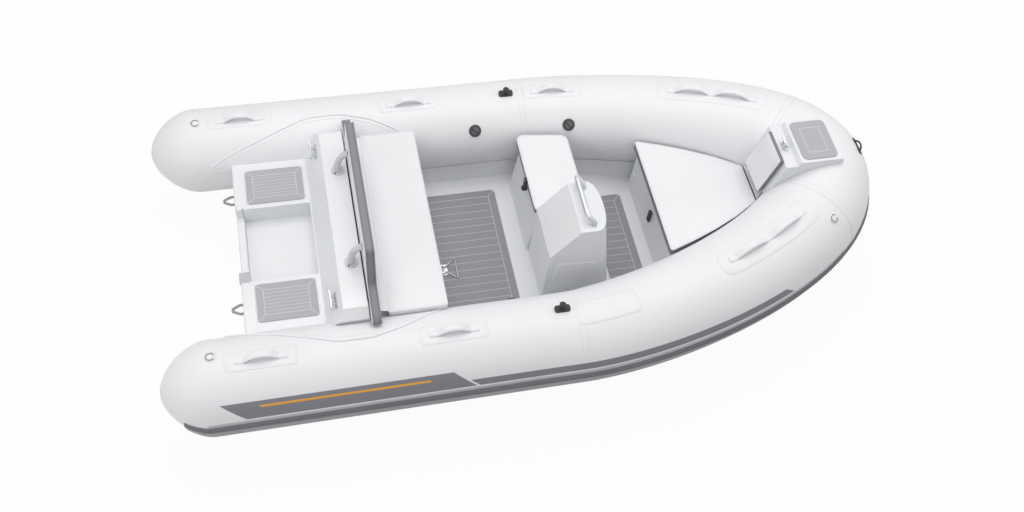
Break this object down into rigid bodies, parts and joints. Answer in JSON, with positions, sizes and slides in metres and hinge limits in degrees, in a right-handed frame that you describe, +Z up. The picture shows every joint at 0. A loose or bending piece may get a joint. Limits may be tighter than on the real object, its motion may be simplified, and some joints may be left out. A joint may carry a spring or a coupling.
{
  "type": "inflatable dinghy",
  "caption": "White rigid-hull inflatable tender with air tubes, moulded deck and motor well, rear bench with backrest, console seat with pod and rail, and cushioned bow locker.",
  "frame": {"origin": "middle of the overall box, at the bottom of the keel pad", "axes": "+X towards the bow, +Y to port, +Z up"},
  "size_m": [3.6834, 1.827, 0.912],
  "materials": {
    "tube_fabric": "matte white coated fabric",
    "gelcoat": "white gelcoat on glass fibre",
    "vinyl": "white marine vinyl with dark grey gussets",
    "grey_rubber": "matte grey rubber",
    "deck_mat": "grey foam deck mat with white grooves",
    "black_plastic": "black moulded plastic",
    "grey_plastic": "dark grey moulded plastic",
    "stainless": "polished stainless steel"
  },
  "bodies": {
    "boat": {"aft_floor_mat": "deck_mat", "backrest_bracket_port": "stainless", "backrest_bracket_starboard": "stainless", "backrest_cushion": "vinyl", "bow_bolster": "vinyl", "bow_cleat": "stainless", "bow_eye": "black_plastic", "bow_handle_port": "tube_fabric", "bow_handle_starboard": "tube_fabric", "bow_locker": "gelcoat", "bow_step": "gelcoat", "bow_step_pad": "deck_mat", "bow_tube": "tube_fabric", "clamp_pad": "grey_rubber", "console_grab_rail": "stainless", "console_pod": "gelcoat", "console_seat_box": "gelcoat", "deck_liner": "gelcoat", "floor_ring_base": "stainless", "forward_floor_mat": "deck_mat", "handle_forward_port": "tube_fabric", "handle_middle_port": "tube_fabric", "handle_middle_starboard": "tube_fabric", "handle_stern_port": "tube_fabric", "handle_stern_starboard": "tube_fabric", "hull_shell": "gelcoat", "oarlock_base_port": "black_plastic", "oarlock_base_starboard": "black_plastic", "platform_mat_port": "deck_mat", "platform_mat_starboard": "deck_mat", "port_tube": "tube_fabric", "rear_seat_box": "gelcoat", "relief_valve_bow": "tube_fabric", "relief_valve_port": "tube_fabric", "relief_valve_starboard": "tube_fabric", "rub_strake": "grey_rubber", "starboard_tube": "tube_fabric", "stern_cleat_port": "stainless", "stern_cleat_starboard": "stainless", "stern_deck": "gelcoat", "tow_eye_port": "stainless", "tow_eye_starboard": "stainless", "transom": "gelcoat", "valve_body_bow": "grey_plastic", "valve_body_port": "grey_plastic", "valve_body_starboard": "grey_plastic"},
    "rear_lid": {"rear_seat_lid": "gelcoat", "rear_seat_cushion": "vinyl"},
    "console_lid": {"console_seat_lid": "gelcoat", "console_seat_cushion": "vinyl"},
    "bow_lid": {"bow_locker_lid": "gelcoat", "bow_cushion": "vinyl"},
    "console_catch": {"console_latch": "black_plastic"},
    "bow_catch": {"bow_latch": "black_plastic"},
    "cap_port": {"valve_cap_port": "grey_plastic"},
    "cap_starboard": {"valve_cap_starboard": "grey_plastic"},
    "cap_bow": {"valve_cap_bow": "grey_plastic"},
    "knob_port": {"oarlock_knob_port": "black_plastic"},
    "knob_starboard": {"oarlock_knob_starboard": "black_plastic"},
    "tie_ring": {"floor_ring": "stainless"}
  },
  "joints": [
    {"name": "rear_seat_lift", "type": "hinge", "parent": "boat", "child": "rear_lid", "pos_m": [-0.78701, 0, 0.5553], "axis": [0, -1, 0], "range_deg": [0, 50]},
    {"name": "console_seat_lift", "type": "hinge", "parent": "boat", "child": "console_lid", "pos_m": [0.30499, 0, 0.4933], "axis": [0, 1, 0], "range_deg": [0, 85]},
    {"name": "bow_locker_lift", "type": "hinge", "parent": "boat", "child": "bow_lid", "pos_m": [1.19799, 0, 0.5506], "axis": [0, 1, 0], "range_deg": [0, 60]},
    {"name": "console_latch_swing", "type": "hinge", "parent": "boat", "child": "console_catch", "pos_m": [0.02519, 0.18, 0.4733], "axis": [0, -1, 0], "range_deg": [0, 90]},
    {"name": "bow_latch_swing", "type": "hinge", "parent": "boat", "child": "bow_catch", "pos_m": [0.67419, -0.025, 0.4105], "axis": [0, 1, 0], "range_deg": [0, 70]},
    {"name": "valve_cap_turn_port", "type": "hinge", "parent": "boat", "child": "cap_port", "pos_m": [-0.17801, 0.5174, 0.56063], "axis": [0, -0.766, 0.6428], "range_deg": [0, 120]},
    {"name": "valve_cap_turn_starboard", "type": "hinge", "parent": "boat", "child": "cap_starboard", "pos_m": [-0.17801, -0.46954, 0.45799], "axis": [0, 0.9848, 0.1736], "range_deg": [0, 120]},
    {"name": "valve_cap_turn_bow", "type": "hinge", "parent": "boat", "child": "cap_bow", "pos_m": [0.32326, 0.48362, 0.57468], "axis": [-0.1323, -0.7549, 0.6423], "range_deg": [0, 120]},
    {"name": "oarlock_turn_port", "type": "hinge", "parent": "boat", "child": "knob_port", "pos_m": [0.01299, 0.685, 0.64878], "axis": [0, 0, 1], "continuous": true},
    {"name": "oarlock_turn_starboard", "type": "hinge", "parent": "boat", "child": "knob_starboard", "pos_m": [0.01299, -0.64527, 0.64531], "axis": [0, 0.1736, 0.9848], "continuous": true},
    {"name": "tie_ring_swing", "type": "hinge", "parent": "boat", "child": "tie_ring", "pos_m": [-0.44101, -0.096, 0.2166], "axis": [0, -1, 0], "range_deg": [0, 150]}
  ]
}
